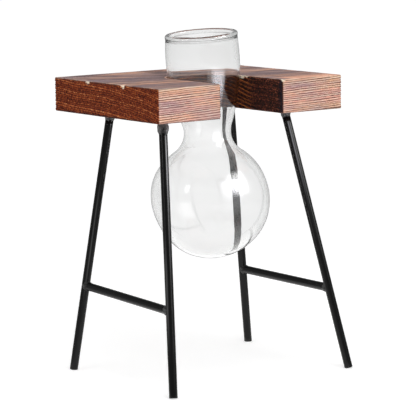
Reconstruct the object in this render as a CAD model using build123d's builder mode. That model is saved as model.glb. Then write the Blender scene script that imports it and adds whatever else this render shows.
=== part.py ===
from build123d import *
import math
import os

# A glass propagation vase that hangs in the open slot of a small burnt-pine stool.
# Millimetres, +Z up. The origin is on the floor, under the middle of the whole object's box.
# +X runs along the board's grain, and the slot opens towards -Y, the front.

# Board: one solid piece of pine, with a U slot sawn in from the front edge
board_length = 132.0
board_width = 109.0
board_thickness = 20.0
board_top = 175.0
board_corner = 1.2
board_edge = 0.7
slot_offset = -0.5
slot_seat_depth = 47.3

# Vase: blown glass, hung by the flare of its mouth
mouth_diameter = 44.4
neck_diameter = 28.0
bulb_diameter = 70.4
flare_curve = 110.0
neck_curve = 14.0
rim_rise = 14.4
rim_bead = 2.0
rim_proud = 0.2
glass_wall = 1.3
mouth_overhang = 0.6
seat_clearance = 0.3
vase_lean = 2.7

# Welded rod frames: two on each side, plugged into the board's underside
rod_diameter = 5.0
stud_end_inset = 21.5
stud_front_inset = 27.0
stud_drop = 4.0
stud_depth = 12.0
stud_hole_relief = 0.5
front_splay_x = 19.5
front_splay_y = 34.0
back_splay_x = 21.0
back_splay_y = 13.0
foot_flat = 0.45
foot_edge = 0.3
crossbar_height = 47.8
left_bar_rise = 3.0
stud_weld_diameter = 6.6
bar_weld_diameter = 6.2
bar_weld_reach = 1.6

# One overrun serves every cut and every end that is trimmed
overrun = 3.0

# Heights and radii that follow
board_bottom = board_top - board_thickness
joint_height = board_bottom - stud_drop
rod_radius = rod_diameter / 2
mouth_radius = mouth_diameter / 2
neck_radius = neck_diameter / 2
bulb_radius = bulb_diameter / 2
seat_radius = mouth_radius - mouth_overhang
slot_radius = seat_radius + seat_clearance

# The studs keep their distance from the board's edges, and each foot splays out from its stud
stud_x = board_length / 2 - stud_end_inset
stud_y = board_width / 2 - stud_front_inset


# The front feet reach further than the board, so the board's middle lies behind the origin
front_direction = Vector(front_splay_x, -front_splay_y, -joint_height).normalized()
front_extent = stud_y + front_splay_y + rod_radius * math.sqrt(1 - front_direction.Y**2)
back_extent = max(board_width / 2, stud_y + back_splay_y + rod_radius)
board_y = (front_extent - back_extent) / 2
board_front = board_y - board_width / 2
seat_y = board_front + slot_seat_depth

# Which way each corner lies from the middle of the board, and how far its leg splays
corners = {
    "front_left": (-1, -1, front_splay_x, front_splay_y),
    "front_right": (1, -1, front_splay_x, front_splay_y),
    "back_left": (-1, 1, back_splay_x, back_splay_y),
    "back_right": (1, 1, back_splay_x, back_splay_y),
}


def stud_point(corner, height):
    """The point on a corner's stud axis at the given height."""
    side, end, _, _ = corners[corner]
    return Vector(side * stud_x, board_y + end * stud_y, height)


def foot_point(corner):
    """Where a leg's axis meets the floor."""
    side, end, splay_x, splay_y = corners[corner]
    return Vector(side * (stud_x + splay_x), board_y + end * (stud_y + splay_y), 0)


def leg_point(corner, height):
    """The point on a leg's axis at the given height."""
    top = stud_point(corner, joint_height)
    foot = foot_point(corner)
    return foot + (top - foot) * (height / joint_height)


def bar_point(corner):
    """Where a crossbar's axis meets a leg's: level, but for the left bar's back end, welded high."""
    rise = left_bar_rise if corner == "back_left" else 0
    return leg_point(corner, crossbar_height + rise)


def rod_plane(start, end):
    """A plane square to the line from start to end, with its origin at start."""
    return Plane(origin=start, z_dir=end - start)


def mitre_plane(corner):
    """The plane through a corner's joint where stud and leg meet in one shared outline."""
    joint = stud_point(corner, joint_height)
    leg_up = (joint - foot_point(corner)).normalized()
    return Plane(origin=joint, z_dir=leg_up + Vector(0, 0, 1))


def make_board():
    """The pine board: eased corners and edges, the U slot and four blind stud holes."""
    with BuildPart() as board:
        with BuildSketch(Plane.XY.offset(board_bottom)) as outline:
            with Locations((0, board_y)):
                Rectangle(board_length, board_width)
            with Locations((slot_offset, board_front + slot_seat_depth / 2)):
                Rectangle(2 * slot_radius, slot_seat_depth, mode=Mode.SUBTRACT)
            with Locations((slot_offset, seat_y)):
                Circle(slot_radius, mode=Mode.SUBTRACT)
            side_corners = outline.vertices().filter_by_position(
                Axis.Y, board_front, board_front
            ) + outline.vertices().group_by(Axis.Y)[-1]
            fillet(side_corners, board_corner)
        extrude(amount=board_thickness)
        face_edges = board.faces().filter_by(Axis.Z).edges()
        fillet(face_edges, board_edge)
        with BuildSketch(Plane.XY.offset(board_bottom)):
            for corner in corners:
                with Locations(stud_point(corner, 0)):
                    Circle(rod_radius)
        extrude(amount=stud_depth + stud_hole_relief, mode=Mode.SUBTRACT)
    return board


def make_vase():
    """The blown vase: bulb, neck and flare in tangent arcs, one wall thick, with a rolled rim."""
    # Arc centres as (radius from the axis, height above the board's top)
    flare_height = math.sqrt(flare_curve**2 - (flare_curve - mouth_overhang)**2)
    flare_centre = Vector(mouth_radius - flare_curve, flare_height)
    neck_centre_radius = neck_radius + neck_curve
    flare_run = neck_centre_radius - flare_centre.X
    neck_height = flare_height - math.sqrt((flare_curve + neck_curve)**2 - flare_run**2)
    neck_centre = Vector(neck_centre_radius, neck_height)
    bulb_height = neck_height - math.sqrt((bulb_radius + neck_curve)**2 - neck_centre.X**2)
    bulb_centre = Vector(0, bulb_height)
    rim_height = flare_height + rim_rise

    flare_angle = math.degrees(math.atan2(neck_height - flare_height, flare_run))
    bulb_angle = math.degrees(math.atan2(neck_height - bulb_height, neck_centre.X))

    def rim_radius(radius):
        return flare_centre.X + math.sqrt(radius**2 - rim_rise**2)

    lean = math.radians(vase_lean)
    seat = Vector(slot_offset, seat_y, board_top)
    axis_up = Vector(-math.sin(lean), 0, math.cos(lean))
    outward = Vector(math.cos(lean), 0, math.sin(lean))
    profile_plane = Plane(origin=seat, x_dir=outward, z_dir=outward.cross(axis_up))
    with BuildPart() as vase:
        with BuildSketch(profile_plane):
            with BuildLine():
                for inset in (0, glass_wall):
                    flare = flare_curve - inset
                    rim_angle = math.degrees(math.asin(rim_rise / flare))
                    CenterArc(flare_centre, flare, flare_angle, rim_angle - flare_angle)
                    CenterArc(neck_centre, neck_curve + inset, 180 + flare_angle, bulb_angle - flare_angle)
                    CenterArc(bulb_centre, bulb_radius - inset, -90, 90 + bulb_angle)
                outer_rim = (rim_radius(flare_curve), rim_height)
                inner_rim = (rim_radius(flare_curve - glass_wall), rim_height)
                Line(outer_rim, inner_rim)
                Line((0, bulb_height - bulb_radius), (0, bulb_height - bulb_radius + glass_wall))
            make_face()
            bead_radius = rim_bead / 2
            with Locations((outer_rim[0] + rim_proud - bead_radius, rim_height)):
                Circle(bead_radius)
        revolve(axis=Axis(seat, axis_up))
    return vase


def make_stud(corner):
    """The upright pin that a leg is welded to, seated in the board's blind hole."""
    with BuildPart() as stud:
        with BuildSketch(Plane(origin=stud_point(corner, joint_height - overrun))):
            Circle(rod_radius)
        extrude(amount=overrun + stud_drop + stud_depth)
        chamfer(stud.faces().sort_by(Axis.Z)[-1].edges(), stud_hole_relief)
        split(bisect_by=mitre_plane(corner), keep=Keep.TOP)
    return stud


def make_leg(corner):
    """A splayed rod, mitred to its stud and square at the foot, with a small flat on the floor."""
    top = stud_point(corner, joint_height)
    foot = foot_point(corner)
    down = (foot - top).normalized()
    end_tilt = rod_radius * math.sqrt(1 - down.Z**2)
    rod_start = top - down * overrun
    rod_end = foot - down * ((end_tilt - foot_flat) / abs(down.Z))
    with BuildPart() as leg:
        with BuildSketch(rod_plane(rod_start, rod_end)):
            Circle(rod_radius)
        extrude(amount=(rod_end - rod_start).length)
        chamfer(leg.faces().sort_by(Axis.Z)[0].edges(), foot_edge)
        split(bisect_by=mitre_plane(corner), keep=Keep.BOTTOM)
        split(bisect_by=Plane.XY, keep=Keep.TOP)
    return leg


def make_crossbar(side, legs):
    """A rod between the two legs of one side, its ends coped to fit round them."""
    start = bar_point("front_" + side)
    end = bar_point("back_" + side)
    with BuildPart() as crossbar:
        with BuildSketch(rod_plane(start, end)):
            Circle(rod_radius)
        extrude(amount=(end - start).length)
        for corner in ("front_" + side, "back_" + side):
            add(legs[corner].part, mode=Mode.SUBTRACT)
    return crossbar


def make_stud_weld(corner, stud, leg):
    """The bulging bead where a leg meets its stud."""
    with BuildPart() as weld:
        with Locations(stud_point(corner, joint_height)):
            Sphere(stud_weld_diameter / 2)
        add(stud.part, mode=Mode.SUBTRACT)
        add(leg.part, mode=Mode.SUBTRACT)
    return weld


def make_bar_weld(corner, crossbar, leg):
    """The bead round a crossbar's end, in the corner between it and the leg."""
    end, side = corner.split("_")
    facing = "back_" if end == "front" else "front_"
    along = (bar_point(facing + side) - bar_point(corner)).normalized()
    with BuildPart() as weld:
        with Locations(bar_point(corner) + along * bar_weld_reach):
            Sphere(bar_weld_diameter / 2)
        add(crossbar.part, mode=Mode.SUBTRACT)
        add(leg.part, mode=Mode.SUBTRACT)
    return weld


def save(piece, name):
    """Label a finished piece and write it under its node's name."""
    piece.part.label = name
    export_step(piece.part, "parts/" + name + ".step")


os.makedirs("parts", exist_ok=True)

save(make_board(), "board")
save(make_vase(), "vase")

studs = {corner: make_stud(corner) for corner in corners}
legs = {corner: make_leg(corner) for corner in corners}
crossbars = {side: make_crossbar(side, legs) for side in ("left", "right")}
for corner in corners:
    side = corner.split("_")[1]
    save(studs[corner], corner + "_stud")
    save(legs[corner], corner + "_leg")
    save(make_stud_weld(corner, studs[corner], legs[corner]), corner + "_stud_weld")
    save(make_bar_weld(corner, crossbars[side], legs[corner]), corner + "_bar_weld")
for side, crossbar in crossbars.items():
    save(crossbar, side + "_crossbar")
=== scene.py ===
import math
from types import SimpleNamespace

import bpy
import numpy as np
from mathutils import Matrix, Vector, geometry


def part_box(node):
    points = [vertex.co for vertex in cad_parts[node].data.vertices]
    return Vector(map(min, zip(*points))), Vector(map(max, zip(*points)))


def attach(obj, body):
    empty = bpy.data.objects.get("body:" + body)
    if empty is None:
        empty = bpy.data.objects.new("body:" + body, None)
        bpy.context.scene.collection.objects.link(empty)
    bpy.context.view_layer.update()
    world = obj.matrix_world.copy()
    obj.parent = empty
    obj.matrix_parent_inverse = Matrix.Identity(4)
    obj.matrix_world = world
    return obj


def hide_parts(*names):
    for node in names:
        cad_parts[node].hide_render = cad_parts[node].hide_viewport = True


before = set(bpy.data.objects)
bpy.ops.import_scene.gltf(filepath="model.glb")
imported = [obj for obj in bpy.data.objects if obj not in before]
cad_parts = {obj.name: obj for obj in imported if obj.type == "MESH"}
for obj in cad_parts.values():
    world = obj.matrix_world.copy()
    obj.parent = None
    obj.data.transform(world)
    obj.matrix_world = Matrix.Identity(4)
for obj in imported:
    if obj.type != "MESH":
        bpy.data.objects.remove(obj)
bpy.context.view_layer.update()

MM = 0.001

# Sizes in millimetres. The board's box is the frame's, and the rest is as in the part's source
(_, BOARD_FRONT, BOARD_BOTTOM), (BOARD_X, BOARD_BACK, BOARD_TOP) = (
    [round(v / MM, 2) for v in corner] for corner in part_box("board")
)
BOARD_CORNER, BOARD_EDGE = 1.2, 0.7
SLOT_X, SLOT_R, SLOT_SEAT_DEPTH = -0.5, 21.9, 47.3
SEAT_Y = round(BOARD_FRONT + SLOT_SEAT_DEPTH, 2)
ROD_R = 2.5
STUD_DROP, STUD_DEPTH = 4.0, 12.0
STUD_END_INSET, STUD_FRONT_INSET = 21.5, 27.0
FOOT_FLAT = 0.45
BAR_HEIGHT, LEFT_BAR_RISE = 47.8, 3.0

# Where studs and legs meet, and how far each leg splays to the side and along Y on its way to the floor
JOINT_Z = BOARD_BOTTOM - STUD_DROP
STUD_X = BOARD_X - STUD_END_INSET
STUDS = {
    "front_left": (-STUD_X, BOARD_FRONT + STUD_FRONT_INSET),
    "front_right": (STUD_X, BOARD_FRONT + STUD_FRONT_INSET),
    "back_left": (-STUD_X, BOARD_BACK - STUD_FRONT_INSET),
    "back_right": (STUD_X, BOARD_BACK - STUD_FRONT_INSET),
}
SPLAY = {"front": (19.5, -34.0), "back": (21.0, 13.0)}

# The camera in metres, with its heading right of +Y, its dip and its roll in degrees
CAMERA_PLACE = (-0.7719, -1.0725, 0.2877)
CAMERA_ANGLES = (35.848, 8.236, -0.824)
CAMERA_LENS = 194.16
# Level directions from the object towards the camera and to the camera's right
TO_CAMERA, TO_RIGHT = (-0.586, -0.81, 0.0), (0.81, -0.586, 0.0)


def srgb(r, g, b):
    """A colour of 0 to 255 as the linear one that a shader takes."""
    def linear(v):
        v /= 255
        return v / 12.92 if v <= 0.04045 else ((v + 0.055) / 1.055) ** 2.4

    return (linear(r), linear(g), linear(b), 1.0)


def smooth(low, high, v):
    """A smooth step from 0 at low to 1 at high, which may be the lower of the two."""
    t = np.clip((np.asarray(v, float) - low) / (high - low), 0, 1)
    return t * t * (3 - 2 * t)


def noise3(x, y, z, seed):
    """Smooth value noise from -1 to 1, on numpy arrays."""
    x, y, z = np.broadcast_arrays(*(np.asarray(v, float) for v in (x, y, z)))
    i, j, k = np.floor(x), np.floor(y), np.floor(z)
    u, v, w = (f * f * (3 - 2 * f) for f in (x - i, y - j, z - k))

    def corner(a, b, c):
        # The usual sine hash, which gives each lattice point its own number from 0 to 1
        s = np.sin((i + a) * 127.1 + (j + b) * 311.7 + (k + c) * 74.7 + seed * 17.3) * 43758.5453
        return s - np.floor(s)

    def mix(a, b, t):
        return a + (b - a) * t

    low = mix(mix(corner(0, 0, 0), corner(1, 0, 0), u), mix(corner(0, 1, 0), corner(1, 1, 0), u), v)
    high = mix(mix(corner(0, 0, 1), corner(1, 0, 1), u), mix(corner(0, 1, 1), corner(1, 1, 1), u), v)
    return 2 * mix(low, high, w) - 1


# Meshes

def add_object(name, data):
    obj = bpy.data.objects.new(name, data)
    bpy.context.scene.collection.objects.link(obj)
    return obj


def add_piece(name, points, faces, body, replaced, material):
    """A smooth mesh from points in millimetres, riding on a body in place of a CAD node."""
    mesh = bpy.data.meshes.new(name)
    mesh.from_pydata([tuple(p) for p in np.asarray(points, float) * MM], [], [list(f) for f in faces])
    mesh.update()
    mesh.shade_smooth()
    mesh.materials.append(material)
    obj = add_object(name, mesh)
    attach(obj, body)
    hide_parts(replaced)
    return mesh


def add_attribute(mesh, name, values):
    """A number or a vector for each of a mesh's points, which its material reads by name."""
    values = np.asarray(values, np.float32)
    kind, key = ("FLOAT", "value") if values.ndim == 1 else ("FLOAT_VECTOR", "vector")
    mesh.attributes.new(name, kind, "POINT").data.foreach_set(key, values.ravel())


def circle_angles(columns):
    return np.arange(columns) * 2 * math.pi / columns


def closed_skin(rings, centres=None):
    """The points and faces of a skin over closed rings, with a fan over each end's centre point."""
    rings = np.array(rings)
    rows, columns = rings.shape[:2]
    if centres is None:
        centres = [rings[0].mean(0), rings[-1].mean(0)]
    faces = []
    for row in range(rows - 1):
        for c in range(columns):
            d = (c + 1) % columns
            a, b = row * columns, (row + 1) * columns
            faces.append((a + c, a + d, b + d, b + c))
    first, last = rows * columns, rows * columns + 1
    for c in range(columns):
        d = (c + 1) % columns
        faces.append((first, d, c))
        faces.append((last, (rows - 1) * columns + c, (rows - 1) * columns + d))
    return np.vstack([rings.reshape(-1, 3), centres]), faces


# Node helpers. Colours are given as red, green and blue from 0 to 255

def new_material(name):
    material = bpy.data.materials.new(name)
    material.use_nodes = True
    material.node_tree.nodes.clear()
    return material, material.node_tree


def connect(tree, made, inputs):
    """Inputs by name or number, as values or as the sockets that feed them."""
    for key, value in inputs.items():
        if isinstance(value, bpy.types.NodeSocket):
            tree.links.new(value, made.inputs[key])
        else:
            made.inputs[key].default_value = value


def node(tree, kind, inputs=None, **settings):
    """A node with its settings made and its inputs connected."""
    made = tree.nodes.new(kind)
    for key, value in settings.items():
        setattr(made, key, value)
    connect(tree, made, inputs or {})
    return made


def maths(tree, operation, *values, clamp=False):
    inputs = dict(enumerate(values))
    return node(tree, "ShaderNodeMath", inputs, operation=operation, use_clamp=clamp).outputs[0]


def times(tree, a, b, clamp=False):
    return maths(tree, "MULTIPLY", a, b, clamp=clamp)


def weighted(tree, base, *terms):
    """A base value plus each term's socket times its weight."""
    for socket, weight in terms:
        base = maths(tree, "MULTIPLY_ADD", socket, weight, base)
    return base


def mix_colour(tree, share, a, b):
    made = node(tree, "ShaderNodeMix", {0: share}, data_type="RGBA")
    a, b = (srgb(*colour) if isinstance(colour, tuple) else colour for colour in (a, b))
    connect(tree, made, {6: a, 7: b})
    return made.outputs[2]


def ramp(tree, value, stops):
    """A colour ramp through stops of place and colour, where a plain number is a linear grey."""
    made = node(tree, "ShaderNodeValToRGB", {0: value})
    elements = made.color_ramp.elements
    while len(elements) < len(stops):
        elements.new(0.5)
    for element, (place, _) in zip(elements, stops):
        element.position = place
    for element, (_, colour) in zip(elements, stops):
        element.color = srgb(*colour) if isinstance(colour, tuple) else (colour, colour, colour, 1)
    return made.outputs[0]


def spread(tree, value, low, high, start=0.0, stop=1.0, kind="LINEAR"):
    """Values from low to high stretched to run from start to stop, and held there beyond."""
    inputs = {0: value, 1: low, 2: high, 3: start, 4: stop}
    return node(tree, "ShaderNodeMapRange", inputs, clamp=True, interpolation_type=kind).outputs[0]


def stretched_noise(tree, place, scale, detail=3.0):
    """Noise with its own scale along X, Y and Z, in features per metre."""
    moved = node(tree, "ShaderNodeMapping", {"Vector": place, "Scale": scale}).outputs[0]
    inputs = {"Vector": moved, "Scale": 1.0, "Detail": detail, "Roughness": 0.55}
    return node(tree, "ShaderNodeTexNoise", inputs).outputs[0]


def bumps(tree, height, strength, distance):
    inputs = {"Height": height, "Strength": strength, "Distance": distance}
    return node(tree, "ShaderNodeBump", inputs).outputs[0]


def split_vector(tree, vector):
    return node(tree, "ShaderNodeSeparateXYZ", {0: vector}).outputs


# Pine

def wood_fields(tree):
    """What the pine's colours are made from: the mesh's own attributes, and noises along the grain."""
    wood = SimpleNamespace()
    place = node(tree, "ShaderNodeTexCoord").outputs["Object"]
    wood.x, wood.y, wood.z = split_vector(tree, place)
    wood.ring = node(tree, "ShaderNodeAttribute", attribute_name="ring").outputs["Fac"]
    zone = node(tree, "ShaderNodeAttribute", attribute_name="zone").outputs["Vector"]
    tone = node(tree, "ShaderNodeAttribute", attribute_name="tone").outputs["Vector"]
    wood.end, wood.top, wood.slot = split_vector(tree, zone)
    wood.pale, wood.char, wood.wear = split_vector(tree, tone)

    wood.broad = spread(tree, stretched_noise(tree, place, (14, 70, 110), 2.0), 0.3, 0.7)
    wood.patch = spread(tree, stretched_noise(tree, place, (30, 60, 130)), 0.5, 0.64)
    wood.streak = spread(tree, stretched_noise(tree, place, (70, 600, 950)), 0.36, 0.64)
    wood.dash = spread(tree, stretched_noise(tree, place, (260, 1000, 1400), 2.5), 0.38, 0.62)
    wood.fibre = spread(tree, stretched_noise(tree, place, (420, 2400, 2800)), 0.3, 0.7)
    wood.grit = spread(tree, stretched_noise(tree, place, (1500, 1400, 1400), 2.0), 0.34, 0.66)

    jitter = weighted(tree, -0.05, (wood.fibre, 0.06), (wood.dash, 0.05))
    wood.grown = maths(tree, "ADD", wood.ring, jitter)
    # Every year has its own tone and its own depth of latewood
    year = {"W": maths(tree, "FLOOR", wood.grown)}
    wood.year = node(tree, "ShaderNodeTexWhiteNoise", year, noise_dimensions="1D").outputs["Value"]
    turn = maths(tree, "FRACT", wood.grown)
    late = [(0.0, 1.0), (0.07, 0.35), (0.14, 0.0), (0.58, 0.0), (0.74, 0.75), (0.86, 1.0)]
    strength = weighted(tree, 0.14, (wood.year, 0.5), (wood.streak, 0.3), (wood.dash, 0.5))
    wood.line = times(tree, ramp(tree, turn, late), strength, clamp=True)
    # A pale line beside each dark one: partly pale early wood, partly a painted highlight of the brushed
    # relief
    early = [(0.1, 0.0), (0.28, 1.0), (0.4, 0.8), (0.55, 0.0)]
    strength = weighted(tree, 0.0, (wood.year, 0.3), (wood.dash, 0.7))
    wood.crest = times(tree, ramp(tree, turn, early), strength, clamp=True)

    # Open pores, in rows along the rings
    rows = node(tree, "ShaderNodeCombineXYZ", {
        0: times(tree, wood.ring, 1.35), 1: times(tree, wood.y, 950.0), 2: times(tree, wood.x, 300.0),
    }).outputs[0]
    inputs = {"Vector": rows, "Scale": 1.0, "Detail": 2.0, "Roughness": 0.6}
    rows = spread(tree, node(tree, "ShaderNodeTexNoise", inputs).outputs[0], 0.34, 0.66)
    wood.pore = weighted(tree, 0.0, (wood.year, 0.3), (rows, 0.42), (wood.grit, 0.3), (wood.line, -0.36))
    return wood


def long_grain(tree, wood):
    """The front and the back: pale early wood in bands of pink, orange and smeared grey, with dark lines."""
    light = ramp(tree, wood.broad, [
        (0.05, (238, 172, 164)), (0.4, (252, 180, 156)), (0.62, (255, 190, 146)), (0.9, (255, 208, 140)),
    ])
    season = ramp(tree, wood.year, [
        (0.0, (196, 138, 142)), (0.4, (248, 170, 148)), (0.7, (255, 198, 164)), (1.0, (255, 236, 220)),
    ])
    light = mix_colour(tree, 0.6, light, season)
    # A lighter, more orange strip along the top of the front and the back: a painted highlight under the
    # upper arris
    upper_highlight = times(tree, spread(tree, wood.z, 0.166, 0.174), 0.5)
    light = mix_colour(tree, upper_highlight, light, (255, 194, 124))
    light = mix_colour(tree, times(tree, wood.patch, 0.5), light, (164, 132, 144))
    light = mix_colour(tree, times(tree, wood.pale, 0.6), light, (150, 124, 146))
    light = mix_colour(tree, times(tree, wood.fibre, 0.25), light, (255, 232, 216))
    # Pale lines beside the dark ones, partly painted highlight
    light = mix_colour(tree, wood.crest, light, (255, 236, 222))
    return mix_colour(tree, wood.line, light, (92, 32, 22))


def flat_grain(tree, wood):
    """The flat of the board, darker and greyer than the front: partly where the brush and the flame have
    been, partly painted shade and a painted grey sheen.
    """
    mingled = weighted(tree, 0.0, (wood.broad, 0.55), (wood.streak, 0.45))
    flat = ramp(tree, mingled, [
        (0.25, (84, 76, 92)), (0.42, (136, 116, 122)), (0.56, (176, 138, 124)), (0.75, (214, 154, 118)),
    ])
    # Each year's tone on the flat, darker and greyer than the front partly as painted shade and sheen
    worn_and_shaded = ramp(tree, wood.year, [(0.0, (104, 86, 98)), (0.5, (152, 126, 122)), (1.0, (212, 164, 142))])
    flat = mix_colour(tree, 0.4, flat, worn_and_shaded)
    flat = mix_colour(tree, times(tree, wood.fibre, 0.3), flat, (220, 196, 188))
    flat = mix_colour(tree, times(tree, wood.line, 0.7), flat, (92, 68, 70))
    fresh = mix_colour(tree, times(tree, wood.line, 0.6), (246, 188, 160), (160, 98, 76))
    return mix_colour(tree, wood.pale, flat, fresh)


def end_grain(tree, wood):
    """End grain drinks the stain: it is dark, with pale pores."""
    return ramp(tree, wood.pore, [
        (0.08, (52, 13, 6)), (0.3, (102, 37, 17)), (0.5, (142, 62, 29)), (0.7, (190, 102, 50)),
        (0.95, (240, 176, 124)),
    ])


def scorched_grain(tree, wood):
    """The sawn slot is almost black, with embers of paler wood where the saw crossed the grain."""
    scorch = ramp(tree, weighted(tree, 0.0, (wood.pore, 0.75), (wood.grit, 0.3)), [
        (0.25, (18, 8, 8)), (0.5, (56, 24, 18)), (0.7, (112, 54, 38)), (0.9, (176, 100, 72)),
    ])
    # One ember in two years, at the slot's far end most of all
    two_years = maths(tree, "FRACT", times(tree, wood.grown, 0.5))
    glow = ramp(tree, two_years, [(0.0, 0.0), (0.36, 0.0), (0.45, 1.0), (0.52, 0.8), (0.6, 0.0)])
    glow = times(tree, glow, maths(tree, "MULTIPLY_ADD", wood.pale, 0.92, 0.08, clamp=True))
    glow = times(tree, glow, weighted(tree, 0.0, (wood.year, 0.6), (wood.streak, 0.5)), clamp=True)
    # Pale passes 1 where the flame hardly reached
    spared = times(tree, maths(tree, "SUBTRACT", wood.pale, 1.0, clamp=True), 0.6)
    scorch = mix_colour(tree, spared, scorch, mix_colour(tree, wood.streak, (112, 52, 40), (176, 100, 80)))
    return mix_colour(tree, glow, scorch, (240, 140, 68))


def pine_material():
    """Burnt and brushed pine: growth rings from the mesh's own ring field, with fibres, scorching and
    painted shade on the lower arrises.
    """
    material, tree = new_material("pine")
    wood = wood_fields(tree)
    face = mix_colour(tree, wood.top, long_grain(tree, wood), flat_grain(tree, wood))
    face = mix_colour(tree, wood.end, face, end_grain(tree, wood))
    face = mix_colour(tree, wood.slot, face, scorched_grain(tree, wood))
    # Scorching along the arrises, and painted shade on the lower ones; raw wood where they are rubbed or
    # chipped
    face = mix_colour(tree, wood.char, face, mix_colour(tree, wood.slot, (52, 26, 22), (28, 22, 30)))
    face = mix_colour(tree, wood.wear, face, (255, 238, 214))
    depth = weighted(tree, 0.0, (wood.grit, 0.5), (wood.fibre, 0.5))
    shader = node(tree, "ShaderNodeBsdfPrincipled", {
        "Base Color": face, "Roughness": weighted(tree, 0.74, (wood.line, -0.12)),
        "Normal": bumps(tree, depth, 0.5, 0.2 * MM), "Specular IOR Level": 0.14,
    })
    node(tree, "ShaderNodeOutputMaterial", {"Surface": shader.outputs[0]})
    return material


# Glass and paint

def glass_material():
    """Clear glass, slightly wavy, whose body takes a little of the light that crosses it."""
    material, tree = new_material("glass")
    place = node(tree, "ShaderNodeTexCoord").outputs["Object"]
    wave = stretched_noise(tree, place, (55, 55, 30), 2.0)
    shader = node(tree, "ShaderNodeBsdfPrincipled", {
        "Base Color": (1, 1, 1, 1), "Roughness": 0.0, "IOR": 1.5, "Transmission Weight": 1.0,
        "Normal": bumps(tree, wave, 0.2, 0.4 * MM),
    })
    volume = node(tree, "ShaderNodeVolumeAbsorption", {"Color": (0.2, 0.22, 0.21, 1), "Density": 90.0})
    node(tree, "ShaderNodeOutputMaterial", {"Surface": shader.outputs[0], "Volume": volume.outputs[0]})
    return material


def paint_material(name, tone, uneven, rough, lumps, shine, lump_sheen=None):
    """Satin black paint, slightly uneven. On a weld, its lumps and cuff are painted grey as sheen, with
    painted glints among them, and its hollows are left dark as painted shade.
    """
    material, tree = new_material(name)
    place = node(tree, "ShaderNodeTexCoord").outputs["Object"]
    cloud = stretched_noise(tree, place, (180, 180, 60), 4.0)
    peel = stretched_noise(tree, place, (2600, 2600, 2600), 2.0)
    dark, pale = (tuple(c * k for c in (tone, tone, tone * 1.03)) for k in (1 - uneven, 1 + uneven))
    colour = ramp(tree, spread(tree, cloud, 0.3, 0.7), [(0.0, dark), (1.0, pale)])
    if lump_sheen:
        # Painted sheen: grey on the weld's lumps and cuff, with bright painted glints; the hollows stay dark
        # as painted shade
        lump = node(tree, "ShaderNodeAttribute", attribute_name="lump").outputs["Fac"]
        glint_speck = spread(tree, stretched_noise(tree, place, (1100, 1100, 1100), 2.0), 0.56, 0.66)
        grey = mix_colour(tree, times(tree, glint_speck, 0.6), (lump_sheen, lump_sheen, lump_sheen), (190, 190, 192))
        colour = mix_colour(tree, lump, colour, grey)
    shader = node(tree, "ShaderNodeBsdfPrincipled", {
        "Base Color": colour, "Roughness": weighted(tree, rough - 0.1, (cloud, 0.2)),
        "Normal": bumps(tree, peel, lumps, 0.1 * MM), "Specular IOR Level": shine,
    })
    node(tree, "ShaderNodeOutputMaterial", {"Surface": shader.outputs[0]})
    return material


pine = pine_material()
glass = glass_material()
rod_paint = paint_material("rod_paint", tone=8, uneven=0.25, rough=0.17, lumps=0.3, shine=0.22)
weld_paint = paint_material("weld_paint", tone=12, uneven=0.5, rough=0.3, lumps=0.9, shine=0.3, lump_sheen=118)


# Board

# Chips out of the top's edges: place as x and y, reach and depth
CHIPS = [
    (-66.0, 23.0, 2.6, 1.2), (-66.0, -13.5, 3.0, 1.3),
    (21.4, -10.5, 3.0, 1.0), (21.4, -14.5, 1.9, 0.8), (21.8, -49.4, 2.4, 0.8),
]
# Smears that the brush left on the front and back: place as x and z, reach along x and z, share
SMEARS = [
    (33, 171, 13, 3.4, 1.0), (41, 165.5, 8, 2.0, 0.7), (47, 156.5, 8, 1.6, 0.8),
    (-55, 164, 11, 3.6, 0.8), (-33, 162, 9, 3.0, 0.5),
]
RING_WIDTH = 1.22
# Steps between points along the long grain, across it and round the corners
GRAIN_STEP, CROSS_STEP, CORNER_STEP = 1.4, 0.65, 0.35
WALL_ROWS = 76
EDGE_ANGLES = (22, 45, 68, 90)


def ring_field(x, y, z):
    """How many growth rings lie below a point: nearly flat layers that rise to the back and the right."""
    bow = (y - 6) ** 2 / 1300
    height = z - 155 - 0.085 * y - 0.032 * x + bow
    # A branch once stood by the slot's right-hand lip, and the layers dip round it
    height = height + 3.2 * np.exp(-((x - 27) / 11) ** 2 - ((y + 20) / 13) ** 2)
    height = height + 1.3 * noise3(x / 75, y / 34, z / 40, 1) + 0.3 * noise3(x / 24, y / 12, z / 6, 2)
    height = height + 0.12 * noise3(x / 9, y / 7, z / 2.5, 3) + 0.04 * noise3(x / 3, y / 3, z / 1.5, 14)
    return height / RING_WIDTH + 0.4 * noise3(height / 3, 0.5, 0.5, 4) + 40


def slot_reach(x, y):
    """How far points lie from the slot's middle line, and past the seat from the centre of its round."""
    return np.where(y < SEAT_Y, np.abs(x - SLOT_X), np.hypot(x - SLOT_X, y - SEAT_Y))


def near_edge(gap):
    """1 on an arris, fading to 0 at 1.6 mm from it."""
    return 1 - smooth(0.3, 1.6, gap)


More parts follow.
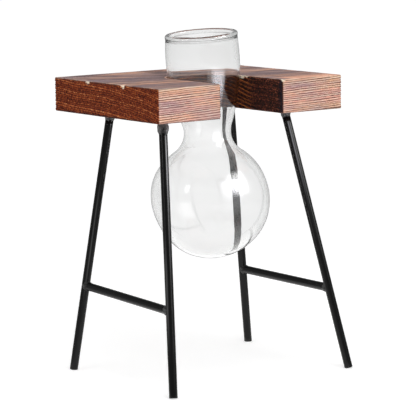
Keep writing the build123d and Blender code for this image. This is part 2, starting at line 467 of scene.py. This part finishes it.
def board_relief(points, normals, edge, ring):
    """How far each surface point lies inside the plain board, with its scorching, the painted shade on its
    lower arrises, and its raw wood.
    """
    x, y, z = points.T
    turn = ring - np.floor(ring)
    ridge = smooth(0.35, 0.85, turn) * (1 - smooth(0.93, 1.0, turn)) + (1 - smooth(0.0, 0.07, turn)) * 0.4
    end, _, flat = np.abs(normals).T
    # The brush took the softer wood between the ridges, less of it from the flats
    deep = (0.26 - 0.14 * flat) * (1 - ridge)
    # The softer wood has gone from the upright arrises, ring by ring
    corner = smooth(1.6, 0.3, np.minimum(y - BOARD_FRONT, BOARD_BACK - y)) * smooth(64.5, 65.6, np.abs(x))
    deep = deep + 0.3 * corner * (0.5 - 0.5 * np.cos(math.pi * ring))
    grain = 0.03 * (1 + noise3(x / 4.5, y / 0.9, z / 0.9, 6))
    crumble = 0.1 * end * (1 + noise3(x / 0.9, y / 0.9, z / 0.9, 7))
    nibble = edge * end * np.maximum(0, 0.15 + 0.55 * noise3(x / 2.2, y / 1.3, z / 1.3, 8))
    depth = deep * (1 - 0.8 * edge) + grain + crumble + nibble
    high = smooth(165, 172, z)
    wear = edge * high * (1 - 0.9 * end) * (0.5 + 0.5 * noise3(x / 5, y / 5, z / 5, 9)) * 0.3
    # Darker along the lower arrises as painted shade, and scorched along the end's arrises
    char = edge * ((1 - high) * 0.75 + 0.6 * end) * (0.55 + 0.45 * noise3(x / 6, y / 3, z / 3, 12))
    lip = smooth(-44.5, -48.0, y) * smooth(SLOT_R + 1.2, SLOT_R + 0.4, np.abs(x - SLOT_X)) * (1 - flat)
    char = np.maximum(char, 0.85 * lip)
    for chip_x, chip_y, reach, low in CHIPS:
        away = np.sqrt((x - chip_x) ** 2 + (y - chip_y) ** 2 + (z - BOARD_TOP) ** 2)
        away = away * (1 + 0.25 * noise3(x, y, z, 10))
        dent = 1 - smooth(0.25 * reach, reach, away)
        depth = depth + low * dent
        wear = np.maximum(wear, smooth(0.2, 0.5, dent))
    return depth, char, wear


def board_outline():
    """Points round the board with their outward normals, anticlockwise from the front left corner."""
    c = BOARD_CORNER
    left, right = SLOT_X - SLOT_R, SLOT_X + SLOT_R
    path = []

    def straight(a, b, step):
        a, b = np.array(a, float), np.array(b, float)
        count = max(1, int(round(np.linalg.norm(b - a) / step)))
        d = (b - a) / np.linalg.norm(b - a)
        path.extend((*(a + (b - a) * i / count), d[1], -d[0]) for i in range(count))

    def bend(centre, radius, start, turn, step, outward=1):
        count = max(2, int(round(abs(math.radians(turn)) * radius / step)))
        for i in range(count):
            a = math.radians(start + turn * i / count)
            n = np.array([math.cos(a), math.sin(a)])
            path.append((*(np.array(centre) + radius * n), *(outward * n)))

    straight((-BOARD_X + c, BOARD_FRONT), (left - c, BOARD_FRONT), GRAIN_STEP)
    bend((left - c, BOARD_FRONT + c), c, -90, 90, CORNER_STEP)
    straight((left, BOARD_FRONT + c), (left, SEAT_Y), CROSS_STEP)
    bend((SLOT_X, SEAT_Y), SLOT_R, 180, -180, CROSS_STEP, outward=-1)
    straight((right, SEAT_Y), (right, BOARD_FRONT + c), CROSS_STEP)
    bend((right + c, BOARD_FRONT + c), c, 180, 90, CORNER_STEP)
    straight((right + c, BOARD_FRONT), (BOARD_X - c, BOARD_FRONT), GRAIN_STEP)
    bend((BOARD_X - c, BOARD_FRONT + c), c, -90, 90, CORNER_STEP)
    straight((BOARD_X, BOARD_FRONT + c), (BOARD_X, BOARD_BACK - c), CROSS_STEP)
    bend((BOARD_X - c, BOARD_BACK - c), c, 0, 90, CORNER_STEP)
    straight((BOARD_X - c, BOARD_BACK), (-BOARD_X + c, BOARD_BACK), GRAIN_STEP)
    bend((-BOARD_X + c, BOARD_BACK - c), c, 90, 90, CORNER_STEP)
    straight((-BOARD_X, BOARD_BACK - c), (-BOARD_X, BOARD_FRONT + c), CROSS_STEP)
    bend((-BOARD_X + c, BOARD_FRONT + c), c, 180, 90, CORNER_STEP)
    return np.array(path)


def edge_rows():
    """The board's rings as inset, height and tilt of the normal, from the top edge to the bottom one."""
    e = BOARD_EDGE
    angles = np.radians(EDGE_ANGLES)
    rows = [(e - e * math.cos(a), BOARD_TOP - e + e * math.sin(a), a) for a in angles[::-1]]
    rows += [(0.0, z, 0.0) for z in np.linspace(BOARD_TOP - e, BOARD_BOTTOM + e, WALL_ROWS)]
    rows += [(e - e * math.cos(a), BOARD_BOTTOM + e - e * math.sin(a), -a) for a in angles]
    return rows


def flat_lattice():
    """Points over a flat face in staggered rows along the grain, clear of its edges, corners and slot."""
    e = BOARD_EDGE
    lattice = []
    for j, y in enumerate(np.arange(BOARD_FRONT + e + 0.45, BOARD_BACK - e - 0.2, 0.52)):
        start = -BOARD_X + e + 0.6 + GRAIN_STEP / 2 * (j % 2)
        lattice += [(x, y) for x in np.arange(start, BOARD_X - e - 0.4, GRAIN_STEP)]
    lattice = np.array(lattice)
    x, y = lattice.T
    in_slot = slot_reach(x, y) < SLOT_R + e + 0.3
    in_corner = (np.abs(x) > BOARD_X - 1.7) & ((y < BOARD_FRONT + 1.7) | (y > BOARD_BACK - 1.7))
    return lattice[~(in_slot | in_corner)]


def board_skin():
    """Points of the plain board, their normals, how near an arris they lie, and the faces."""
    outline = board_outline()
    count = len(outline)
    xy, out = outline[:, :2], outline[:, 2:]
    rows = edge_rows()
    points, normals, edge, faces = [], [], [], []
    for inset, z, tilt in rows:
        points.append(np.column_stack([xy - inset * out, np.full(count, z)]))
        normals.append(np.column_stack([out * math.cos(tilt), np.full(count, math.sin(tilt))]))
        edge.append(np.full(count, near_edge(min(BOARD_TOP - z, z - BOARD_BOTTOM))))
    for row in range(len(rows) - 1):
        for c in range(count):
            d = (c + 1) % count
            a, b = row * count, (row + 1) * count
            faces.append((a + c, b + c, b + d, a + d))

    # Both flat faces share one net of triangles, which is joined to the top's and the bottom's last ring
    inner = xy - BOARD_EDGE * out
    net = [Vector(p) for p in np.vstack([inner, flat_lattice()])]
    verts, _, tris, source = geometry.delaunay_2d_cdt(net, [], [list(range(count))], 1, 1e-6)[:4]
    at = len(rows) * count
    for z, up, first in ((BOARD_TOP, 1, 0), (BOARD_BOTTOM, -1, (len(rows) - 1) * count)):
        index, added = {}, []
        for i, origin in enumerate(source):
            on_ring = [o for o in origin if o < count]
            if on_ring:
                index[i] = first + on_ring[0]
            else:
                index[i] = at
                added.append((verts[i].x, verts[i].y, z))
                at += 1
        added = np.array(added)
        points.append(added)
        normals.append(np.tile([0.0, 0.0, up], (len(added), 1)))
        x, y = added[:, 0], added[:, 1]
        gaps = [BOARD_X - np.abs(x), y - BOARD_FRONT, BOARD_BACK - y, slot_reach(x, y) - SLOT_R]
        edge.append(near_edge(np.minimum.reduce(gaps)))
        for tri in tris:
            faces.append(tuple(index[i] for i in tri[::up]))
    return np.vstack(points), np.vstack(normals), np.concatenate(edge), faces


def make_board():
    """The board in relief, with the fields that its material reads."""
    points, normals, edge, faces = board_skin()
    x, y, z = points.T
    ring = ring_field(x, y, z)
    depth, char, wear = board_relief(points, normals, edge, ring)
    points = points - normals * depth[:, None]
    mesh = add_piece("board_wood", points, faces, "stand", "board", pine)

    in_slot = slot_reach(x, y) < SLOT_R + 0.9
    lip = smooth(BOARD_FRONT + 0.2, BOARD_FRONT + 1.2, y)
    slot = in_slot * (1 - np.abs(normals[:, 2])) * lip
    end = smooth(0.35, 0.8, np.abs(normals[:, 0]))
    top = smooth(0.4, 0.9, np.abs(normals[:, 2]))
    # Paler wood: the top's front right corner, and the slot's far end, where the flame hardly reached.
    # On the front and back it's the smears of grey that the brush left
    pale = np.where(in_slot, smooth(-24, -13, y) + smooth(-7, 8, y), smooth(-28, -44, y) * smooth(23, 32, x))
    smear = np.zeros(len(x))
    for at_x, at_z, wide, high, share in SMEARS:
        up = z - at_z
        smear = np.maximum(smear, share * np.exp(-((x - at_x - up) / wide) ** 2 - (up / high) ** 2))
    pale = np.where((top < 0.5) & ~in_slot, smear, pale)
    add_attribute(mesh, "ring", ring)
    add_attribute(mesh, "zone", np.column_stack((end, top, slot)))
    add_attribute(mesh, "tone", np.column_stack((pale, char, wear)))


# Rods and welds

FOOT_EDGE = 0.35
# Beads of weld: radius, and reach before and past the joint along its spine. The front left stud bead is
# a lump that sags by LUMP_SAG, and the other three are slim
LUMP_BEAD = {"radius": 3.55, "low": 4.0, "high": 5.8}
LUMP_SAG = 2.4
SLIM_BEAD = {"radius": 2.9, "low": 2.0, "high": 3.9}
BAR_BEAD = {"radius": 3.0, "low": 2.6, "high": 2.6}
BAR_BEAD_OUT = 2.0
# Ripples round a bead, how far its sleeve stands out, and how much painted sheen its lumps take
STUD_RIPPLES, STUD_CUFF, BAR_RIPPLES, BAR_LUMP_SHEEN = 3, 0.2, 9, 0.25
HOLLOW = math.radians(54)


def unit(direction):
    d = np.array(direction, float)
    return d / np.linalg.norm(d)


def basis(direction):
    """A unit vector along a direction, and two square to it."""
    d = unit(direction)
    side = unit(np.cross(d, [0.0, 1.0, 0.0] if abs(d[1]) < 0.8 else [1.0, 0.0, 0.0]))
    return d, side, np.cross(d, side)


def rod(node_name, start, end, seed, mitre=None, foot=False, columns=48, rows=36):
    """A drawn rod between two points, its start cut along a plane that is square to mitre."""
    d, u, v = basis(end - start)
    length = np.linalg.norm(end - start)
    angles = circle_angles(columns)
    skin = ROD_R * (np.cos(angles)[:, None] * u + np.sin(angles)[:, None] * v)
    low = np.zeros(columns) if mitre is None else -(skin @ mitre) / (d @ mitre)
    rings = []
    for share in np.linspace(0, 1, rows):
        along = low + (length - low) * share
        lump = 0.02 * noise3(along / 9, 3 * np.cos(angles), 3 * np.sin(angles), seed) - 0.02
        rings.append(start + along[:, None] * d + skin * (1 + lump / ROD_R)[:, None])
    if foot:
        # Rounded edge of the sawn end, which stops at the floor
        rings[-1] = start + (length - FOOT_EDGE) * d + skin
        for turn in np.radians([25, 50, 75, 90]):
            back = FOOT_EDGE * (1 - math.sin(turn))
            rings.append(start + (length - back) * d + skin * (1 - FOOT_EDGE * (1 - math.cos(turn)) / ROD_R))
    points, faces = closed_skin(rings)
    if foot:
        points[:, 2] = np.maximum(points[:, 2], 0)
    add_piece(node_name + "_rod", points, faces, "stand", node_name, rod_paint)


def weld(joint_name, spine, radius, low, high, ripples, seed, cuff=0.0, lump_sheen=1.0, columns=72, rows=31):
    """A bead of weld round a joint: ripples that swell out of the rods along a spine, from -low to high."""
    angles = circle_angles(columns)
    rings, lumps = [], []
    for t in np.linspace(-1, 1, rows):
        centre, direction = spine(t * (high if t > 0 else low))
        d, u, v = basis(direction)
        ragged = 1.12 + 0.3 * noise3(1.6 * np.cos(angles), 1.6 * np.sin(angles), seed, 13)
        swell = np.cos(np.clip(t * ragged, -1, 1) * math.pi / 2) ** 1.2
        # One hollow faces the camera, with a lump at either side of it
        scallop = np.abs(np.sin(ripples * (angles - HOLLOW) / 2 + 0.25 * noise3(3 * t, seed, 0, 11)))
        sleeve = float(smooth(-0.1, 0.5, t))
        r = ROD_R - 0.12 + cuff * sleeve + (radius - ROD_R + 0.12) * swell * (0.35 + 0.65 * scallop)
        r = r + 0.16 * swell * noise3(3 * np.cos(angles), 3 * np.sin(angles), 3 * t, seed + 20)
        rings.append(centre + r[:, None] * (np.cos(angles)[:, None] * u + np.sin(angles)[:, None] * v))
        # Painted sheen on the lumps and the cuff; the hollows between them stay dark, as painted shade
        lumps.append(lump_sheen * np.maximum(swell * scallop, sleeve * min(1, 5 * cuff)))
    points, faces = closed_skin(rings)
    mesh = add_piece(joint_name + "_bead", points, faces, "stand", joint_name + "_weld", weld_paint)
    add_attribute(mesh, "lump", np.append(np.ravel(lumps), [0, 0]))


def joint_point(corner):
    return np.array([*STUDS[corner], JOINT_Z])


def foot_point(corner):
    x, y = STUDS[corner]
    out, along = SPLAY[corner.split("_")[0]]
    return np.array([x + math.copysign(out, x), y + along, 0.0])


def bar_point(corner):
    """Where a crossbar's axis meets a leg's: level, but for the left bar's back end, welded high."""
    height = BAR_HEIGHT + (LEFT_BAR_RISE if corner == "back_left" else 0)
    foot = foot_point(corner)
    return foot + (joint_point(corner) - foot) * height / JOINT_Z


def make_corner(corner, seed):
    """One leg, its stud and the bead between them."""
    up = np.array([0.0, 0.0, 1.0])
    joint, foot = joint_point(corner), foot_point(corner)
    down = unit(foot - joint)
    mitre = unit(up - down)
    tilt = ROD_R * math.sqrt(1 - down[2] ** 2)
    foot_end = foot - down * ((tilt - FOOT_FLAT) / abs(down[2]))
    rod(corner + "_leg", joint, foot_end, seed, mitre, foot=True)
    rod(corner + "_stud", joint, joint + up * (STUD_DROP + STUD_DEPTH), seed + 9, mitre, rows=10)

    bead, sag = (LUMP_BEAD, LUMP_SAG) if corner == "front_left" else (SLIM_BEAD, 0.0)

    def spine(t):
        t = t - sag
        share = float(smooth(-1.2, 1.2, t))
        return joint + (up * t if t > 0 else -down * t), up * share - down * (1 - share)

    weld(corner + "_stud", spine, **bead, ripples=STUD_RIPPLES, seed=seed + 1, cuff=STUD_CUFF)


def make_crossbar(side, seed):
    """The rod between one side's legs, with a bead at each end."""
    front, back = "front_" + side, "back_" + side
    a, b = bar_point(front), bar_point(back)
    rod(side + "_crossbar", a, b, seed + 30, rows=30)
    for corner, here, there in ((front, a, b), (back, b, a)):
        along = unit(there - here)

        def spine(t, here=here, along=along):
            return here + along * (BAR_BEAD_OUT + t), along

        weld(corner + "_bar", spine, **BAR_BEAD, ripples=BAR_RIPPLES, seed=seed + 5, lump_sheen=BAR_LUMP_SHEEN)


# Vase

LEAN = math.radians(2.7)
# How the blown form strays from its true arcs: height over the board's top, radius and shift to the right
BLOWN = np.array([
    (25, -0.30, -0.25), (19, -0.33, -0.25), (12, -0.33, -0.15), (5, -0.35, 0.0), (-3, -0.35, 0.0),
    (-11, -0.30, 0.0), (-19, -0.15, 0.1), (-27, 0.0, 0.45), (-34, 0.0, 0.45), (-40, 0.0, 0.1),
    (-46, 0.1, -0.1), (-52, 0.4, -0.4), (-57, 0.5, -0.5), (-63, 0.35, -0.4), (-70, 0.25, 0.0),
    (-76, 0.1, 0.2), (-82, -0.25, 0.6), (-88, -0.3, 0.8), (-95, -0.3, 0.6), (-102, -0.1, 0.1),
    (-109, 0.0, 0.0),
])
# Thickness of the glass at heights over the board's top: thin in the bulb, and thicker up the mouth, so
# that it bends the board behind it a little lower, as in the photo
WALL_HEIGHTS = (-109, -60, -36, -24, -10, 0, 6, 14, 26)
WALLS = (1.15, 1.0, 1.1, 1.3, 1.35, 1.0, 1.1, 1.42, 1.5)
# The rim isn't quite square to the axis: its rise towards the right and towards the back
RIM_SLOPE = (0.030, 0.012)


def blown(height):
    """Change of radius and sideways shift at each height, smoothly between the listed ones."""
    pull = np.exp(-0.5 * ((height[:, None] - BLOWN[:, 0]) / 4.0) ** 2)
    return (pull @ BLOWN[:, 1:]) / pull.sum(1)[:, None]


def wall_at(height):
    """Thickness of the glass at each height, with the corners between the listed ones rounded off."""
    steps = np.arange(-112, 32)
    pull = np.exp(-0.5 * ((height[:, None] - steps) / 1.3) ** 2)
    return pull @ np.interp(steps, WALL_HEIGHTS, WALLS) / pull.sum(1)


def arc(centre, radius, start, stop, count):
    a = np.linspace(start, stop, count)
    return np.column_stack([centre[0] + radius * np.cos(a), centre[1] + radius * np.sin(a)])


def vase_profile():
    """Outer and inner wall from the bottom up to the rolled rim and back, as (radius, height)."""
    # Radii of the mouth, neck and bulb, and of the curves of flare and neck
    mouth_r, neck_r, bulb_r, flare, neck = 22.2, 14.0, 35.2, 110.0, 14.0
    # The flare's overhang past the seat, then the rim: its rise, its bead's radius and how proud it stands
    overhang, rise, bead, proud = 0.6, 13.05, 1.5, 0.45
    flare_h = math.sqrt(flare**2 - (flare - overhang) ** 2)
    flare_c = np.array([mouth_r - flare, flare_h])
    neck_x = neck_r + neck
    neck_h = flare_h - math.sqrt((flare + neck) ** 2 - (neck_x - flare_c[0]) ** 2)
    bulb_h = neck_h - math.sqrt((bulb_r + neck) ** 2 - neck_x**2)
    flare_a = math.atan2(neck_h - flare_h, neck_x - flare_c[0])
    bulb_a = math.atan2(neck_h - bulb_h, neck_x)
    bead_c = np.array([flare_c[0] + math.sqrt(flare**2 - rise**2) + proud - bead, flare_h + rise])

    low = arc((0, bulb_h), bulb_r, -math.pi / 2, bulb_a, 90)
    mid = arc((neck_x, neck_h), neck, math.pi + bulb_a, math.pi + flare_a, 34)
    top = arc(flare_c, flare, flare_a, math.asin(rise / flare), 46)
    outer = np.vstack([low[:-1], mid[:-1], top])
    along = np.gradient(outer, axis=0)
    inward = np.column_stack([-along[:, 1], along[:, 0]]) / np.linalg.norm(along, axis=1)[:, None]
    inner = outer + inward * wall_at(outer[:, 1])[:, None]
    inner[:, 0] = np.maximum(inner[:, 0], 0)

    def outside_bead(line):
        return line[np.hypot(*(line - bead_c).T) > bead * 1.05]

    outer, inner = outside_bead(outer), outside_bead(inner)
    first = math.atan2(*(outer[-1] - bead_c)[::-1])
    last = math.atan2(*(inner[-1] - bead_c)[::-1])
    last += 2 * math.pi if last < first else 0
    roll = arc(bead_c, bead, first + 0.2, last - 0.2, 26)
    line = np.vstack([outer, roll, inner[::-1]])
    # Soften the two creases beside the bead
    fixed = line.copy()
    for _ in range(3):
        fixed[1:-1] = (fixed[:-2] + 2 * fixed[1:-1] + fixed[2:]) / 4
    near = np.abs(line[:, 1] - bead_c[1]) < 3.0
    line[near] = fixed[near]
    return line


def make_vase(columns=192):
    """The profile turned round the leaning axis, with its stray shape and its tilted rim."""
    line = vase_profile()
    bottom, floor_h = line[0, 1], line[-1, 1]
    line = line[1:-1]
    up = np.array([-math.sin(LEAN), 0, math.cos(LEAN)])
    side = np.array([math.cos(LEAN), 0, math.sin(LEAN)])
    back = np.cross(up, side)
    seat = np.array([SLOT_X, SEAT_Y, BOARD_TOP])
    angles = circle_angles(columns)
    spoke = np.cos(angles)[:, None] * side + np.sin(angles)[:, None] * back
    slope = RIM_SLOPE[0] * np.cos(angles) + RIM_SLOPE[1] * np.sin(angles)
    rings = []
    for (r, h), (wider, moved) in zip(line, blown(line[:, 1])):
        r = r + wider * min(1, r / 20)
        tip = r * slope * float(smooth(6, 25, h))
        rings.append(seat + (h + tip)[:, None] * up + moved * np.array(TO_RIGHT) + r * spoke)
    points, faces = closed_skin(rings, [seat + up * bottom, seat + up * floor_h])
    add_piece("vase_glass", points, faces, "vase", "vase", glass)


# Stage, in metres

FLOOR_SIZE = 14.0
LAMP_CENTRE = (0, 0, 0.11)
COOL_WHITE = (0.93, 0.93, 1.0)
# The right-hand card's brightness from its foot to its head
UPRIGHT_SHADE = [(0.0, 0.0), (0.25, 0.04), (0.45, 0.16), (0.68, 0.9), (0.88, 1.0), (1.0, 0.2)]


def floor_material():
    """A white table: it shows as white and still takes the object's shadow."""
    material, tree = new_material("white_table")
    path = node(tree, "ShaderNodeLightPath").outputs
    place = node(tree, "ShaderNodeTexCoord").outputs["Object"]
    colour = ramp(tree, stretched_noise(tree, place, (3, 3, 3), 2.0), [(0.0, 0.78), (1.0, 0.8)])
    diffuse = node(tree, "ShaderNodeBsdfDiffuse", {"Color": colour})
    far = node(tree, "ShaderNodeVectorMath", {0: place}, operation="LENGTH").outputs["Value"]
    seen = maths(tree, "MAXIMUM", path["Is Camera Ray"], path["Is Transmission Ray"])
    # The lamps reach the near part, so the far part has to be topped up more
    topped = spread(tree, far, 0.2, 1.3, 0.5, 0.7)
    # Close under the object the table glows for glossy rays only: a painted bright patch that glass and
    # paint reflect
    glossy_glow = times(tree, path["Is Glossy Ray"], spread(tree, far, 0.1, 0.17, 0.7, 0.0))
    strength = weighted(tree, glossy_glow, (seen, topped))
    glow = node(tree, "ShaderNodeEmission", {"Color": (1, 1, 1, 1), "Strength": strength})
    both = node(tree, "ShaderNodeAddShader", {0: diffuse.outputs[0], 1: glow.outputs[0]})
    node(tree, "ShaderNodeOutputMaterial", {"Surface": both.outputs[0]})
    return material


def make_floor():
    mesh = bpy.data.meshes.new("floor")
    corners = [(-1, -1), (1, -1), (1, 1), (-1, 1)]
    mesh.from_pydata([(x * FLOOR_SIZE, y * FLOOR_SIZE, 0) for x, y in corners], [], [(0, 1, 2, 3)])
    mesh.materials.append(floor_material())
    add_object("floor", mesh)


def make_world():
    """White surroundings. Glass and paint show a darker ceiling over them."""
    world = bpy.data.worlds.new("studio")
    bpy.context.scene.world = world
    world.use_nodes = True
    tree = world.node_tree
    tree.nodes.clear()
    path = node(tree, "ShaderNodeLightPath").outputs
    way = node(tree, "ShaderNodeTexCoord").outputs["Generated"]
    ceiling = spread(tree, split_vector(tree, way)[2], 0.3, 0.75, 1.0, 0.2)
    through = times(tree, path["Is Transmission Ray"], ceiling)
    mirrored = times(tree, path["Is Glossy Ray"], times(tree, ceiling, 0.4))
    seen = maths(tree, "MAXIMUM", path["Is Camera Ray"], maths(tree, "MAXIMUM", through, mirrored))
    strength = weighted(tree, seen, (path["Is Diffuse Ray"], 0.4))
    background = node(tree, "ShaderNodeBackground", {"Color": (1, 1, 1, 1), "Strength": strength})
    node(tree, "ShaderNodeOutputWorld", {"Surface": background.outputs[0]})


def fade_card(lamp, upright):
    """Lets a card's brightness fall away towards its edges, or follow the stops of upright by height."""
    lamp.use_nodes = True
    tree = lamp.node_tree
    tree.nodes.clear()
    across = node(tree, "ShaderNodeNewGeometry").outputs["Parametric"]
    centre = {0: across, 1: (0.5, 0.5, 0.0)}
    middle = node(tree, "ShaderNodeVectorMath", centre, operation="SUBTRACT").outputs[0]
    reach = node(tree, "ShaderNodeVectorMath", {0: middle}, operation="ABSOLUTE").outputs[0]
    sideways, up = (spread(tree, v, 0.5, 0.16, kind="SMOOTHSTEP") for v in split_vector(tree, reach)[:2])
    if upright:
        up = ramp(tree, split_vector(tree, across)[1], upright)
    emission = node(tree, "ShaderNodeEmission", {"Strength": times(tree, sideways, up)})
    node(tree, "ShaderNodeOutputLight", {"Surface": emission.outputs[0]})


def softbox(name, turn, rise, distance, width, height, radiance, tint=(1, 1, 1), card=False, upright=()):
    """A soft lamp as bright as its radiance whatever its size, placed by degrees from the camera's side.

    A card is a reflector: it shows in glass and paint, and adds no light of its own to the object."""
    turn, rise = math.radians(turn), math.radians(rise)
    flat = math.cos(turn) * Vector(TO_CAMERA) + math.sin(turn) * Vector(TO_RIGHT)
    away = math.cos(rise) * flat + math.sin(rise) * Vector((0, 0, 1))
    lamp = bpy.data.lights.new(name, "AREA")
    lamp.shape = "RECTANGLE"
    lamp.size, lamp.size_y = width, height
    lamp.energy = radiance * math.pi * width * height
    lamp.color = tint
    if card:
        fade_card(lamp, upright)
    obj = add_object(name, lamp)
    obj.location = Vector(LAMP_CENTRE) + away * distance
    obj.rotation_euler = away.to_track_quat("Z", "Y").to_euler()
    obj.visible_camera = False
    obj.visible_diffuse = not card
    obj.visible_glossy = card
    obj.visible_transmission = False


def make_lights():
    # Name, turn to the right and rise in degrees, distance, width and height in metres, and radiance
    softbox("key", 30, 38, 1.1, 0.9, 0.6, 3.0)
    softbox("fill", -60, 15, 1.2, 0.7, 0.8, 1.4)
    softbox("overhead", 0, 89, 0.9, 0.65, 0.65, 1.6)
    softbox("key_card", 66, 30, 1.0, 0.92, 0.84, 15.0, card=True)
    softbox("right_card", 43, 6, 0.1, 0.086, 0.1, 12.0, COOL_WHITE, card=True, upright=UPRIGHT_SHADE)
    softbox("left_card", -41, -19, 0.127, 0.09, 0.09, 2.6, card=True)
    softbox("leg_card", -46, 22, 1.0, 0.2, 0.38, 6.5, card=True)
    softbox("overhead_card", 0, 89, 0.9, 0.65, 0.65, 3.0, card=True)


def make_camera():
    """The camera that the photo was taken with, as fitted to the board, the legs and the glass."""
    heading, dip, roll = (math.radians(a) for a in CAMERA_ANGLES)
    forward = Vector((math.sin(heading) * math.cos(dip), math.cos(heading) * math.cos(dip), -math.sin(dip)))
    right = Vector((math.cos(heading), -math.sin(heading), 0))
    up = right.cross(forward)
    turned_right = math.cos(roll) * right + math.sin(roll) * up
    turned_up = math.cos(roll) * up - math.sin(roll) * right
    data = bpy.data.cameras.new("camera")
    data.sensor_width, data.lens = 36.0, CAMERA_LENS
    data.clip_start, data.clip_end = 0.05, 60.0
    camera = add_object("camera", data)
    rows = Matrix((turned_right, turned_up, -forward)).transposed().to_4x4()
    camera.matrix_world = Matrix.Translation(CAMERA_PLACE) @ rows
    bpy.context.scene.camera = camera


make_board()
for number, corner in enumerate(STUDS):
    make_corner(corner, number)
for number, side in enumerate(("left", "right")):
    make_crossbar(side, number)
make_vase()
make_floor()
make_world()
make_lights()
make_camera()
bpy.context.scene.view_settings.view_transform = "Standard"

bpy.context.view_layer.update()
